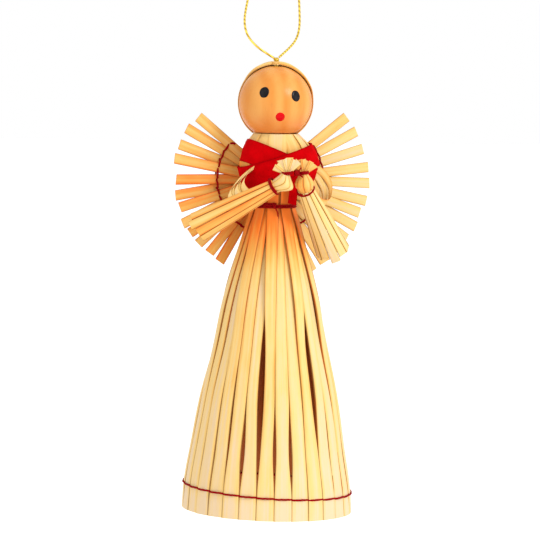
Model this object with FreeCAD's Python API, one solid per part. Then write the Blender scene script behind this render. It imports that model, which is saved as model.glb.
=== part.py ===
import FreeCAD, Part
import math
import os

from FreeCAD import Rotation, Vector

# A straw angel that hangs from a loop of thread. Millimetres, +Z up, the face looks along -Y, and
# the origin is the point inside the top of the loop where a hook or a twig carries it.

UP = Vector(0, 0, 1)
BACK = Vector(0, 1, 0)

# Hanger thread and the head it carries
THREAD_D = 0.6
BEAD_R = 10.0
BEAD_CENTRE = Vector(0, 0, -59.5)
BEAD_FLAT_Z = -67.8
BEAD_BORE_R = 1.3
PAINT_THICK = 0.12
HAIR_GAP = 0.25
HAIR_THICK = 0.5
HAIR_STRAWS = 7
HAIR_SPREAD_DEG = 190
HAIR_TURN_DEG = -18
HAIR_FILL = 0.96
HAIR_TOP_DEG = 10
HAIR_END_DEG = 143
CROWN_KNOT_R = 0.75
CROWN_KNOT_Z = -47.75
NECK_KNOT_R = 1.6
KNOT_BULGE = 1.2
NECK_KNOT_Z = -70.6
KNOT_GAP = 0.07
STRAND_GAP = 0.02

# The eyes and mouth: turn about the head's axis from the front, lift above the bead's centre,
# half width and half height of the painted oval
LEFT_EYE = (-36, 16.7, 1.37, 1.56)
RIGHT_EYE = (17, 11.7, 1.37, 1.56)
MOUTH = (-8.5, -21.8, 1.28, 1.32)

# The torso under the ribbons leans a little to its left: height, offset along X, half width, half depth
TORSO_RINGS = [
    (-67.9, 0.4, 6.2, 5.7),
    (-70.5, 0.9, 8.6, 5.8),
    (-76.5, 1.3, 10.7, 5.9),
    (-82.5, 1.1, 9.0, 5.9),
    (-88.6, 0.2, 6.3, 6.2),
]
COLLAR_TURNS_DEG = (20, 57)
COLLAR_HEIGHTS = (-68.05, -71.5, -76.5, -82.4)
COLLAR_WIDTHS = (3.6, 4.0, 3.5, 3.3)
COLLAR_THICK = 0.5
COLLAR_INSET = 0.35
CORE_STRAW_D = 2.45
CORE_GAP = 0.04
CORE_OUTER_STRAWS = 6
CORE_TOP_Z = -73.0
CORE_BOTTOM_Z = -100.0

# Ribbons that cross on the chest and on the back
RIBBON_WIDTH = 6.4
RIBBON_THICK = 0.35
RIBBON_SLOPE_DEG = 22.0
RIBBON_CROSS_Z = -76.4
RIBBON_OVERLAP_GAP = 0.08
RIBBON_REACH = 30.0
TAIL_WIDTH = 2.4
TAIL_PATH = [(3.3, -7.25, -80.6), (3.3, -7.3, -84.0), (3.3, -7.1, -88.9)]

# Skirt: straws in three layers at the waist that open into one ring at the hem
SKIRT_STRAWS = 30
SKIRT_LAYERS = 3
LAYER_STEP = 0.7
WAIST_Z = -87.6
WAIST_THREAD_R = 6.22
HEM_Z = -171.0
HEM_THREAD_Z = -164.3
HEM_THREAD_R = 22.5
HEM_STRAW_HALF = 0.55
# height, ring radius, straw width, straw thickness, share of the layer step that is left
SKIRT_RINGS = [
    (-83.0, 5.6, 3.2, 0.55, 1.0),
    (WAIST_Z, 5.6, 3.2, 0.55, 1.0),
    (-93.0, 7.3, 3.2, 0.6, 1.0),
    (-112.0, 12.8, 3.2, 0.62, 1.0),
    (-126.0, 15.4, 3.1, 0.9, 0.5),
    (-140.0, 18.2, 3.6, 1.7, 0.0),
    (-154.0, 20.6, 4.05, 1.6, 0.0),
    (HEM_THREAD_Z, HEM_THREAD_R, 4.4, 0.9, 0.0),
    (HEM_Z, 23.1, 4.6, 0.6, 0.0),
]
INNER_LAYER_WIDTHS = (3.2, 2.85, 2.4)

# Sewing thread that binds the straws
THREAD_R = 0.25
THREAD_GAP = 0.05
TURN_GAP = 0.02

# Arms, sleeves and hands, each side as built by hand, so the two sides differ a little
ARM_D = 2.2
ARM_ROOM = 0.3
SLEEVE_STRAWS = 7
SLEEVE_SLOT_DEG = 62
SLEEVE_WRIST_R = 1.95
SLEEVE_END_R = 4.3
SLEEVE_THICK = 0.45
SLEEVE_SHARES = (0.0, 0.35, 1.0)
SLEEVE_FILL = 0.93
WRIST_TURNS = (0.45, 1.0)
WRIST_THREAD_GAP = 0.2
LEFT_ARM = [(-4.5, 0, -77.5), (-8.4, -0.6, -78.2), (-12.0, -2.4, -82.4), (-12.6, -6.4, -86.6),
            (-8.9, -10.1, -84.6), (-4.5, -13.1, -81.8)]
RIGHT_ARM = [(5.0, 0, -77.5), (10.6, -0.2, -78.4), (13.4, -2.8, -83.0), (11.4, -7.2, -87.9),
             (7.9, -11.3, -86.2), (5.9, -13.2, -83.1)]
LEFT_SLEEVE = ((-4.5, -13.1, -81.8), (-21.8, -1.0, -93.5), (-0.06, 0.65, 0.76))
RIGHT_SLEEVE = ((5.9, -13.2, -83.1), (16.6, -3.0, -100.0), (0.0, 0.75, 0.66))
LEFT_HAND = ((-4.0, -13.5, -81.5), (-1.2, -14.9, -80.2), (-0.9, -15.0, -77.7), (-1.8, -15.2, -73.4))
RIGHT_HAND = ((5.6, -13.5, -82.6), (4.3, -14.2, -80.6), (4.0, -13.9, -77.6), (3.4, -13.9, -73.2))
HAND_RADII = (1.3, 2.5, 0.85)
FINGER_STRAWS = 5
FINGER_STEP_DEG = 17
FINGER_START = 1.3
FINGER_THICK = 0.35
FINGER_FILL = 0.9
FINGER_SET_BACK = 0.6
PINCH_THREAD_GAP = 0.4
HANDS_KNOT_R = 0.8
HANDS_KNOT_FORWARD = 0.3

# Wings: straws in a flat fan behind the torso
WING_CENTRE = Vector(1.2, 7.9, -80.7)
WING_ROOT_R = 3.3
WING_FULL_R = 7.0
LEFT_WING_TIP_R = 27.4
RIGHT_WING_TIP_R = 28.6
WING_STRAW_WIDTH = 2.6
WING_STRAW_THICK = 0.42
WING_LAYERS = 3
WING_LAYER_STEP = 0.48
WING_THREAD_AT_R = 15.3
WING_THREAD_OVERRUN_DEG = 4
LEFT_WING_DEG = (38.5, 29.5, 19.5, 11, -1, -10.5, -17.5, -27, -34.5, -42, -50.5, -59)
RIGHT_WING_DEG = (38.5, 28, 17.5, 7, -2, -12, -19.5, -27.5, -36, -45, -54.5, -63)
WING_TIE_R = 2.9
WING_TIE_DEPTH = 2.2
WING_TIE_ROUND = 0.6

# The hanger loop's route, left strand up from the knot, over the hook, and down on the right
HANGER_ROUTE = [
    (-0.83, 0, -47.29), (-3.0, -0.1, -46.1), (-6.2, -0.2, -44.1), (-8.7, -0.2, -41.2),
    (-9.5, -0.1, -37.6), (-8.9, 0.1, -33.6), (-7.6, 0.3, -27.6), (-6.2, 0.4, -20.4),
    (-5.1, 0.3, -13.4), (-4.3, 0.1, -7.2), (-3.6, 0, -3.4), (-2.78, 0, -1.12), (-0.98, 0, 0.14),
    (1.11, 0, -0.04), (2.67, 0, -1.6), (3.32, 0, -4.0), (3.9, -0.1, -7.8), (4.35, -0.3, -13.6),
    (5.0, -0.4, -20.8), (5.75, -0.3, -28.2), (6.3, -0.1, -34.6), (6.5, 0.1, -39.0),
    (5.6, 0.2, -42.4), (3.2, 0.1, -45.05), (0.73, 0, -47.14),
]
ARC_SHARE = 0.45


def unit(vector):
    """The same direction with length one."""
    return Vector(vector) * (1 / Vector(vector).Length)


def turned(vector, axis, degrees):
    """A vector turned about an axis by the right-hand rule."""
    return Rotation(axis, degrees).multVec(Vector(vector))


def along(start, end, share):
    """The point at a share of the way from one point to another."""
    return start + (end - start) * share


def oval(centre, wide, thin, width, thickness):
    """A closed oval of a width along one direction and a thickness along the other."""
    major = centre + unit(wide) * (width / 2)
    minor = centre + unit(thin) * (thickness / 2)
    return Part.Wire([Part.Ellipse(major, minor, centre).toShape()])


def creased(centre, wide, thin, width, thickness):
    """The outline of a straw pressed flat: two bulged sides that meet in a crease at each edge."""
    edge = unit(wide) * (width / 2)
    bulge = unit(thin) * (thickness / 2)
    outer = Part.Arc(centre - edge, centre + bulge, centre + edge).toShape()
    inner = Part.Arc(centre + edge, centre - bulge, centre - edge).toShape()
    return Part.Wire([outer, inner])


def round_wire(centre, axis, radius):
    """A closed circle about an axis."""
    return Part.Wire([Part.Circle(centre, axis, radius).toShape()])


def ring(centre, axis, radius, thread_radius=THREAD_R):
    """One turn of thread, closed on itself."""
    return Part.makeTorus(radius, thread_radius, centre, axis)


def flat_straw(sections):
    """A flattened straw through sections of (centre, wide, thin, width, thickness)."""
    return Part.makeLoft([creased(*section) for section in sections], True)


def bent_tube(route, diameter):
    """A round tube of straight runs joined by tangent arcs, and the radii of those arcs."""
    points = [Vector(*point) for point in route]
    start = points[0]
    edges = []
    radii = []
    for before, corner, after in zip(points, points[1:], points[2:]):
        into = unit(corner - before)
        out = unit(after - corner)
        half_turn = into.getAngle(out) / 2
        reach = ARC_SHARE * min((corner - before).Length, (after - corner).Length)
        radius = reach / math.tan(half_turn)
        middle = corner + unit(out - into) * (radius / math.cos(half_turn) - radius)
        edges.append(Part.LineSegment(start, corner - into * reach).toShape())
        edges.append(Part.Arc(corner - into * reach, middle, corner + out * reach).toShape())
        start = corner + out * reach
        radii.append(radius)
    edges.append(Part.LineSegment(start, points[-1]).toShape())
    path = Part.Wire(edges)
    section = round_wire(points[0], unit(points[1] - points[0]), diameter / 2)
    return path.makePipeShell([section], True, False), radii, path.Length


def head_bead():
    """Turned wooden ball with a flat where it sits on the neck and a bore for the thread."""
    ball = Part.makeSphere(BEAD_R, BEAD_CENTRE)
    below = Part.makeBox(4 * BEAD_R, 4 * BEAD_R, 2 * BEAD_R,
                         Vector(-2 * BEAD_R, -2 * BEAD_R, BEAD_FLAT_Z - 2 * BEAD_R))
    bore = Part.makeCylinder(BEAD_BORE_R, 4 * BEAD_R, BEAD_CENTRE - UP * 2 * BEAD_R)
    return ball.cut(below).cut(bore)


def painted_dot(turn_deg, lift_deg, half_width, half_height):
    """A thin oval of paint on the bead, looking out along its own direction."""
    outward = turned(turned(-BACK, Vector(1, 0, 0), -lift_deg), UP, turn_deg)
    sideways = unit(outward.cross(UP))
    upward = unit(sideways.cross(outward))
    outline = oval(BEAD_CENTRE, upward, sideways, 2 * half_height, 2 * half_width)
    column = Part.Face(outline).extrude(outward * 2 * BEAD_R)
    paint = Part.makeSphere(BEAD_R + PAINT_THICK, BEAD_CENTRE).cut(Part.makeSphere(BEAD_R, BEAD_CENTRE))
    return column.common(paint)


def hair_straws():
    """Straws split and laid over the bead from the crown, down the sides and the back."""
    inner = BEAD_R + HAIR_GAP
    outer = inner + HAIR_THICK
    pitch = HAIR_SPREAD_DEG / HAIR_STRAWS

    def on_arc(radius, polar_deg):
        polar = math.radians(polar_deg)
        return BEAD_CENTRE + Vector(0, radius * math.sin(polar), radius * math.cos(polar))

    middle_deg = (HAIR_TOP_DEG + HAIR_END_DEG) / 2
    profile = Part.Wire([
        Part.Arc(*[on_arc(outer, polar) for polar in (HAIR_TOP_DEG, middle_deg, HAIR_END_DEG)]).toShape(),
        Part.LineSegment(on_arc(outer, HAIR_END_DEG), on_arc(inner, HAIR_END_DEG)).toShape(),
        Part.Arc(*[on_arc(inner, polar) for polar in (HAIR_END_DEG, middle_deg, HAIR_TOP_DEG)]).toShape(),
        Part.LineSegment(on_arc(inner, HAIR_TOP_DEG), on_arc(outer, HAIR_TOP_DEG)).toShape(),
    ])
    strip = Part.Face(profile).revolve(BEAD_CENTRE, UP, pitch * HAIR_FILL)
    strips = []
    for index in range(HAIR_STRAWS):
        start_deg = HAIR_TURN_DEG - HAIR_SPREAD_DEG / 2 + index * pitch
        strips.append(strip.rotated(BEAD_CENTRE, UP, start_deg))
    return Part.makeCompound(strips)


def head_thread():
    """The two strands that run from below the crown knot through the bead to the neck knot."""
    top = CROWN_KNOT_Z - CROWN_KNOT_R * KNOT_BULGE - KNOT_GAP
    bottom = NECK_KNOT_Z + NECK_KNOT_R
    strands = []
    for side in (-1, 1):
        foot = Vector(side * (THREAD_D / 2 + STRAND_GAP), 0, bottom)
        strands.append(Part.makeCylinder(THREAD_D / 2, top - bottom, foot))
    return Part.makeCompound(strands)


def knot(radius, height):
    """A small round knot on the object's axis with flats where the threads leave it."""
    ball = Part.makeSphere(radius * KNOT_BULGE, Vector(0, 0, height))
    slab = Part.makeBox(4 * radius, 4 * radius, 2 * radius, Vector(-2 * radius, -2 * radius, height - radius))
    return ball.common(slab)


def torso(grow):
    """The torso's outline as a solid, grown outward by a distance."""
    wires = []
    for height, offset, half_width, half_depth in TORSO_RINGS:
        centre = Vector(offset, 0, height)
        wires.append(oval(centre, Vector(1, 0, 0), BACK, 2 * (half_width + grow), 2 * (half_depth + grow)))
    return Part.makeLoft(wires, True)


def torso_size(height):
    """Offset along X, half width and half depth of the torso at a height, between its rings."""
    for upper, lower in zip(TORSO_RINGS, TORSO_RINGS[1:]):
        if upper[0] >= height >= lower[0]:
            share = (upper[0] - height) / (upper[0] - lower[0])
            return tuple(a + (b - a) * share for a, b in zip(upper[1:], lower[1:]))
    return TORSO_RINGS[-1][1:]


def collar_straws():
    """Flat straws that fan from the neck over the shoulders, clear of the arms at the sides."""
    inset = COLLAR_THICK / 2 + COLLAR_INSET
    straws = []
    for facing in (-90, 90):
        for turn in COLLAR_TURNS_DEG:
            for side in (-1, 1):
                angle = math.radians(facing + side * turn)
                sections = []
                for height, width in zip(COLLAR_HEIGHTS, COLLAR_WIDTHS):
                    offset, half_width, half_depth = torso_size(min(height, TORSO_RINGS[0][0]))
                    across = half_width - inset
                    deep = half_depth - inset
                    centre = Vector(offset + across * math.cos(angle), deep * math.sin(angle), height)
                    tangent = Vector(-across * math.sin(angle), deep * math.cos(angle), 0)
                    normal = tangent.cross(UP)
                    sections.append((centre, tangent, normal, width, COLLAR_THICK))
                straws.append(flat_straw(sections))
    return Part.makeCompound(straws)


def core_straws():
    """One straw with six around it, the bundle that the torso and the skirt are tied on."""
    height = CORE_TOP_Z - CORE_BOTTOM_Z
    pitch = CORE_STRAW_D + CORE_GAP
    step = 360 / CORE_OUTER_STRAWS
    feet = [Vector(0, 0, CORE_BOTTOM_Z)]
    for index in range(CORE_OUTER_STRAWS):
        feet.append(feet[0] + turned(Vector(pitch, 0, 0), UP, (index + 0.5) * step))
    return Part.makeCompound([Part.makeCylinder(CORE_STRAW_D / 2, height, foot) for foot in feet])


def ribbon(side, inner_gap, arms):
    """A ribbon wound round the torso in a sloping plane, opened where the arms come through."""
    shell = torso(inner_gap + RIBBON_THICK).cut(torso(inner_gap))
    corner = Vector(-RIBBON_REACH, -RIBBON_REACH, -RIBBON_WIDTH / 2)
    slab = Part.makeBox(2 * RIBBON_REACH, 2 * RIBBON_REACH, RIBBON_WIDTH, corner)
    slab.rotate(Vector(0, 0, 0), BACK, side * RIBBON_SLOPE_DEG)
    slab.translate(Vector(0, 0, RIBBON_CROSS_Z))
    band = shell.common(slab)
    for arm in arms:
        band = band.cut(arm)
    return band


def ribbon_tail():
    """The loose end of a ribbon that hangs from under the hands to the waist."""
    sections = []
    for point in TAIL_PATH:
        sections.append((Vector(*point), Vector(1, 0, 0), BACK, TAIL_WIDTH, RIBBON_THICK))
    return flat_straw(sections)


def skirt_straw(index):
    """One straw of the skirt, from under the bodice to the cut hem."""
    turn = math.radians(index * 360 / SKIRT_STRAWS)
    radial = Vector(math.cos(turn), math.sin(turn), 0)
    tangent = Vector(-math.sin(turn), math.cos(turn), 0)
    layer = index % SKIRT_LAYERS
    sections = []
    for height, radius, width, thickness, step_left in SKIRT_RINGS:
        centre = radial * (radius - layer * LAYER_STEP * step_left) + UP * height
        if height >= WAIST_Z:
            width = INNER_LAYER_WIDTHS[layer]
        sections.append((centre, tangent, radial, width, thickness))
    return flat_straw(sections)


def waist_thread():
    """Two turns of red thread round the tops of the skirt straws."""
    turns = []
    for offset in (-THREAD_R - TURN_GAP, THREAD_R + TURN_GAP):
        turns.append(ring(Vector(0, 0, WAIST_Z + offset), UP, WAIST_THREAD_R))
    return Part.makeCompound(turns)


def hem_thread():
    """The thread twined along the hem, one turn outside the straws and one inside."""
    clear = HEM_STRAW_HALF + THREAD_R + THREAD_GAP
    centre = Vector(0, 0, HEM_THREAD_Z)
    return Part.makeCompound([ring(centre, UP, HEM_THREAD_R + clear), ring(centre, UP, HEM_THREAD_R - clear)])


def sleeve(wrist, end, slot):
    """Straws tied at the wrist that open into a bell, with a slot behind for the arm."""
    wrist = Vector(*wrist)
    end = Vector(*end)
    axis = unit(end - wrist)
    slot = Vector(*slot)
    slot = unit(slot - axis * slot.dot(axis))
    pitch = (360 - 2 * SLEEVE_SLOT_DEG) / SLEEVE_STRAWS
    straws = []
    for index in range(SLEEVE_STRAWS):
        radial = turned(slot, axis, SLEEVE_SLOT_DEG + (index + 0.5) * pitch)
        tangent = axis.cross(radial)
        sections = []
        for share in SLEEVE_SHARES:
            radius = SLEEVE_WRIST_R + (SLEEVE_END_R - SLEEVE_WRIST_R) * share
            width = radius * math.radians(pitch) * SLEEVE_FILL
            centre = along(wrist, end, share) + radial * radius
            sections.append((centre, tangent, radial, width, SLEEVE_THICK))
        straws.append(flat_straw(sections))
    return Part.makeCompound(straws)


def wrist_thread(wrist, end):
    """Two turns of red thread round the tied end of a sleeve."""
    wrist = Vector(*wrist)
    axis = unit(Vector(*end) - wrist)
    radius = SLEEVE_WRIST_R + SLEEVE_THICK / 2 + THREAD_R + WRIST_THREAD_GAP
    return Part.makeCompound([ring(wrist + axis * reach, axis, radius) for reach in WRIST_TURNS])


def hand(wrist, palm, pinch, tip):
    """A hand: the arm's straws bulge past the wrist, are pinched, and flare into fingers."""
    wrist, palm, pinch, tip = (Vector(*point) for point in (wrist, palm, pinch, tip))
    wrist_r, palm_r, pinch_r = HAND_RADII
    bulge = Part.makeLoft([
        round_wire(wrist, unit(palm - wrist), wrist_r),
        round_wire(palm, unit(pinch - wrist), palm_r),
        round_wire(pinch, unit(tip - palm), pinch_r),
    ], True)
    upward = unit(tip - pinch)
    normal = unit(upward.cross(Vector(1, 0, 0)))
    length = (tip - pinch).Length
    pieces = [bulge]
    middle = (FINGER_STRAWS - 1) / 2
    for index in range(FINGER_STRAWS):
        direction = turned(upward, normal, (index - middle) * FINGER_STEP_DEG)
        wide = direction.cross(normal)
        sections = []
        for reach in (FINGER_START, FINGER_START + length):
            width = max(reach * math.radians(FINGER_STEP_DEG) * FINGER_FILL, FINGER_THICK)
            centre = pinch - upward * FINGER_SET_BACK + direction * reach
            sections.append((centre, wide, normal, width, FINGER_THICK))
        pieces.append(flat_straw(sections))
    return Part.makeCompound(pieces)


def hands_thread():
    """Red thread round each hand's pinch and the knot that ties the hands together."""
    pieces = []
    for hand_points in (LEFT_HAND, RIGHT_HAND):
        pinch = Vector(*hand_points[2])
        axis = unit(Vector(*hand_points[3]) - Vector(*hand_points[1]))
        pieces.append(ring(pinch, axis, HAND_RADII[2] + THREAD_R + PINCH_THREAD_GAP))
    left_pinch = Vector(*LEFT_HAND[2])
    right_pinch = Vector(*RIGHT_HAND[2])
    middle = along(left_pinch, right_pinch, 0.5) - BACK * HANDS_KNOT_FORWARD
    pieces.append(Part.makeSphere(HANDS_KNOT_R, middle))
    return Part.makeCompound(pieces)


def wing_place(shape, side):
    """Moves a wing built in the XZ plane, outward along +X, to its own side of the back."""
    if side < 0:
        shape = shape.mirror(Vector(0, 0, 0), Vector(1, 0, 0))
    return shape.translated(WING_CENTRE)


def wing(side, straw_angles, tip_radius):
    """A fan of straws in overlapping layers, tied at the root and cut square at the tips."""
    straws = []
    for index, angle in enumerate(straw_angles):
        outward = turned(Vector(1, 0, 0), BACK, -angle)
        across = outward.cross(BACK)
        lift = BACK * (index % WING_LAYERS - 1) * WING_LAYER_STEP
        sections = []
        for reach in (WING_ROOT_R, WING_FULL_R, tip_radius):
            width = WING_STRAW_WIDTH * min(1.0, reach / WING_FULL_R)
            sections.append((outward * reach + lift, across, BACK, width, WING_STRAW_THICK))
        straws.append(flat_straw(sections))
    return wing_place(Part.makeCompound(straws), side)


def wing_thread(side, straw_angles):
    """The thread twined across the fan, one run in front of the straws and one behind."""
    clear = WING_LAYER_STEP + WING_STRAW_THICK / 2 + THREAD_R + THREAD_GAP
    start = straw_angles[0] + WING_THREAD_OVERRUN_DEG
    sweep = start - straw_angles[-1] + WING_THREAD_OVERRUN_DEG
    runs = []
    for face in (-1, 1):
        middle = turned(Vector(WING_THREAD_AT_R, 0, 0), BACK, -start) + BACK * face * clear
        tangent = turned(Vector(0, 0, 1), BACK, -start)
        disc = Part.Face(round_wire(middle, tangent, THREAD_R))
        runs.append(disc.revolve(Vector(0, 0, 0), BACK, sweep))
    return wing_place(Part.makeCompound(runs), side)


def wing_tie():
    """The wound thread on the spine that the two wings are tied with."""
    base = WING_CENTRE - BACK * WING_TIE_DEPTH / 2
    wound = Part.makeCylinder(WING_TIE_R, WING_TIE_DEPTH, base, BACK)
    return wound.makeFillet(WING_TIE_ROUND, wound.Edges[:1] + wound.Edges[2:3])


def save(name, shape):
    """Writes one sub-part, and says if its solids are not sound."""
    if not shape.isValid() or not shape.Solids:
        print("unsound:", name)
    shape.exportStep("parts/" + name + ".step")


def main():
    os.makedirs("parts", exist_ok=True)
    loop, radii, loop_length = bent_tube(HANGER_ROUTE, THREAD_D)
    print("hanger loop length", round(loop_length, 2), "top", round(loop.BoundBox.ZMax, 3))
    print("arc radii", [round(radius, 2) for radius in radii])
    section_volume = math.pi * (THREAD_D / 2) ** 2 * loop_length
    print("tube volume over section times length", round(loop.Volume / section_volume, 4))
    save("hanger_loop", loop)
    save("crown_knot", knot(CROWN_KNOT_R, CROWN_KNOT_Z))
    save("head_thread", head_thread())
    save("neck_knot", knot(NECK_KNOT_R, NECK_KNOT_Z))

    save("head_bead", head_bead())
    save("eye_left", painted_dot(*LEFT_EYE))
    save("eye_right", painted_dot(*RIGHT_EYE))
    save("mouth", painted_dot(*MOUTH))
    save("hair_straws", hair_straws())

    save("core_straws", core_straws())
    save("collar_straws", collar_straws())
    arm_room = [bent_tube(route, ARM_D + ARM_ROOM)[0] for route in (LEFT_ARM, RIGHT_ARM)]
    save("ribbon_left", ribbon(1, 0.0, arm_room))
    save("ribbon_right", ribbon(-1, RIBBON_THICK + RIBBON_OVERLAP_GAP, arm_room))
    save("ribbon_tail", ribbon_tail())

    for index in range(SKIRT_STRAWS):
        save("skirt_straw_%02d" % (index + 1), skirt_straw(index))
    save("waist_thread", waist_thread())
    save("hem_thread", hem_thread())

    sides = (
        ("left", -1, LEFT_ARM, LEFT_SLEEVE, LEFT_HAND, LEFT_WING_DEG, LEFT_WING_TIP_R),
        ("right", 1, RIGHT_ARM, RIGHT_SLEEVE, RIGHT_HAND, RIGHT_WING_DEG, RIGHT_WING_TIP_R),
    )
    for name, side, arm_route, sleeve_points, hand_points, wing_angles, tip_radius in sides:
        save("arm_" + name, bent_tube(arm_route, ARM_D)[0])
        save("sleeve_" + name, sleeve(*sleeve_points))
        save("wrist_thread_" + name, wrist_thread(*sleeve_points[:2]))
        save("hand_" + name, hand(*hand_points))
        save("wing_" + name, wing(side, wing_angles, tip_radius))
        save("wing_thread_" + name, wing_thread(side, wing_angles))
    save("hands_thread", hands_thread())
    save("wing_tie", wing_tie())


main()
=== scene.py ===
import itertools
import math
import random

import bmesh
import bpy
from mathutils import Matrix, Quaternion, Vector, noise


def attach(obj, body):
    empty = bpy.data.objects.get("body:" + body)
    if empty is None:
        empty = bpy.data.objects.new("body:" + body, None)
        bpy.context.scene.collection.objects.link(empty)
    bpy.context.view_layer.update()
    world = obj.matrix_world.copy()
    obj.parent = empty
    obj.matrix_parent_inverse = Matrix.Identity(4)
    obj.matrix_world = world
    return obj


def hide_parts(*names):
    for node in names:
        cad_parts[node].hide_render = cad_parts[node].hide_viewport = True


# The looks of a straw angel that hangs from a loop of gold thread. Lengths are in millimetres and
# become metres as things are made; only the lights and the floor are given in metres. Angles are
# in degrees, apart from the ones that a sine or cosine takes.

MM = 0.001
UP = Vector((0, 0, 1))
BACK = Vector((0, 1, 0))
ACROSS = Vector((1, 0, 0))
THREAD_R = 0.25
TWINE_R = 0.27
SHARP_DEG = 55

# The head
BEAD_R = 10.0
BEAD_CENTRE = Vector((0, 0, -59.5))
BEAD_FLAT_Z = -67.8
BEAD_BORE_R = 1.3
BEAD_EDGE = 0.5
BEAD_EDGE_ROUND = (0.04, 0.10)
BEAD_LIP = 0.35
BEAD_LIP_RISE = 0.3
BEAD_RIM_DEG = 2
BEAD_RIM_DROP = 0.25
BEAD_STEPS = 60
BEAD_AROUND = 96
BEAD_WAVE = 0.004
BEAD_WAVE_PACE = 0.15
# Each dot of paint on it: turn from the front, lift, half width, half height
LEFT_EYE = (-36.0, 16.7, 1.37, 1.56)
RIGHT_EYE = (17.0, 11.7, 1.37, 1.56)
MOUTH = (-8.5, -21.8, 1.28, 1.32)
PAINT_RISE = 0.16
PAINT_SINK = 0.15
PAINT_RIM = 0.0001
PAINT_WAVE = 0.05
PAINT_WAVE_PACE = 1.3
DOT_AROUND = 40
DOT_LAYERS = 9
HAIR_R = 10.45
HAIR_STRAWS = 9
HAIR_SPREAD = 190
HAIR_TURN = -18
HAIR_TOP = -6
HAIR_END = 143
HAIR_STATIONS = 12
HAIR_THICK = 0.5
HAIR_LEAST_WIDTH = 1.7
HAIR_OVERLAP = 1.04
HAIR_LAYER = 0.12
HAIR_SWELL_DEG = (15, 70)
HAIR_CROWN_RISE = 0.28
HAIR_CROWN_THICK = 0.55
# The rear ends draw together by a share, from an angle that differs between the two sides
HAIR_CLOSING = 0.22
HAIR_CLOSING_LEFT = 25
HAIR_CLOSING_RIGHT = 52
HAIR_CLOSING_SPAN = 35
# Straws that lie close together get less of the painted shade along their edges
SOFT_EDGE_SHADE = 0.88
CROWN_KNOT_Z = -47.75
CROWN_KNOT_SIZE = (0.2, 0.17, 0.32)
CROWN_KNOT_STEPS = 72
CROWN_THREAD_R = 0.26

# The torso: height, offset along X, half width, half depth
TORSO_RINGS = [
    (-67.9, 0.4, 6.2, 5.7),
    (-70.5, 0.9, 8.6, 5.8),
    (-76.5, 1.3, 10.7, 5.9),
    (-82.5, 1.1, 9.0, 5.9),
    (-88.6, 0.2, 6.3, 6.2),
]
# The collar: the turns of its straws in front and behind, and height and straw width down it
COLLAR_FRONT = (-80, -47, -12, 23, 57, 88)
COLLAR_REAR = (-55, -18, 18, 55)
COLLAR_STATIONS = [(-68.0, 4.5), (-71.5, 5.3), (-76.5, 5.0), (-82.4, 3.9)]
COLLAR_THICK = 0.5
COLLAR_INSETS = (0.55, 0.8)
CORE_STRAW_D = 2.45
CORE_STRAW_GAP = 0.04
CORE_ROUNDNESS = 0.96
CORE_TRIM = 1.5
CORE_OUTER = 6
CORE_TOP_Z = -73.0
CORE_MIDDLE_Z = -86.0
CORE_BOTTOM_Z = -100.0
RIBBON_WIDTH = 6.4
RIBBON_THICK = 0.32
RIBBON_CROSS_X = 1.0
RIBBON_COLUMNS = 112
RIBBON_ROWS = 14
RIBBON_FOLDS = (0.16, 0.24)
RIBBON_FOLD_PACE = (3.0, 1.4, 5)
RIBBON_CORD = 0.09
RIBBON_CORD_EDGE = (0.88, 0.95)
RIBBON_GRAIN_R = 9.0
# Each ribbon: the side it slopes to, its slope, the height where it crosses, its gap from the torso
RIBBON_LEFT = (1, 22.0, -76.4, 0.0)
RIBBON_RIGHT = (-1, 18.5, -76.9, 0.5)
TAIL_WIDTH = 2.5
TAIL_THICK = 0.36
TAIL_PATH = [(3.3, -7.25, -80.6), (3.4, -7.4, -83.6), (3.1, -7.2, -87.0)]

# The skirt
SKIRT_STRAWS = 30
SKIRT_LAYERS = 3
LAYER_STEP = 0.5
WAIST_Z = -87.6
WAIST_THREAD_R = 6.25
HEM_THREAD_Z = -165.4
HEM_THREAD_R = 22.5
WAIST_KNOT_DEG = -14
WAIST_KNOT_RISE = 0.35
WAIST_THREAD_END = ((0, 0, 0), (0.3, -0.5, -0.7), (0.9, -0.4, -2.0), (1.1, 0.1, -3.4))
TWINE_STEPS = 8
TWINE_POWER = 0.45
TWINE_LIFT = 0.07
TWINE_DEPTH = 0.78
TWINE_BULGE = 0.45
THREAD_SKEW = 0.05
HEM_SKEW = 0.016
SKEW_START_Z = -130.0
SKEW_END_Z = -164.3
# Rings down the skirt: height, radius, straw width, straw thickness, share of the layer step left
SKIRT_RINGS = [
    (-83.0, 5.6, 3.2, 0.55, 1.0),
    (-87.6, 5.6, 3.2, 0.55, 1.0),
    (-93.0, 7.3, 3.2, 0.7, 1.0),
    (-112.0, 12.8, 3.25, 0.9, 1.0),
    (-126.0, 15.4, 3.4, 1.1, 0.5),
    (-140.0, 18.2, 3.88, 1.5, 0.0),
    (-154.0, 20.6, 4.38, 1.4, 0.0),
    (-164.3, 22.5, 4.8, 0.95, 0.0),
    (-171.5, 23.1, 5.02, 0.85, 0.0),
]
INNER_WIDTHS = (3.2, 2.85, 2.4)
# Warmth of the skirt, warm at the top as painted shade under the bodice and sleeves, and each change to it:
# how much, and the depths where it starts and is full
SKIRT_SHADED_TOP_WARMTH = 1.0
SKIRT_SHADE_FADES = ((-0.72, 88, 111), (-0.12, 130, 160), (-0.12, -HEM_THREAD_Z, -HEM_THREAD_Z + 1))
# The edge value that marks the inside of a skirt straw, where painted shade makes it dark red
INSIDE_SHADE = 2.0
# Slits between neighbouring skirt straws: width, height of the middle, half length
SLITS = {
    18: (0.6, -148, 12), 19: (1.1, -152, 10), 20: (1.6, -137, 25), 21: (0.8, -153, 9),
    22: (0.9, -152, 10), 24: (1.7, -131, 21),
}

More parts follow.
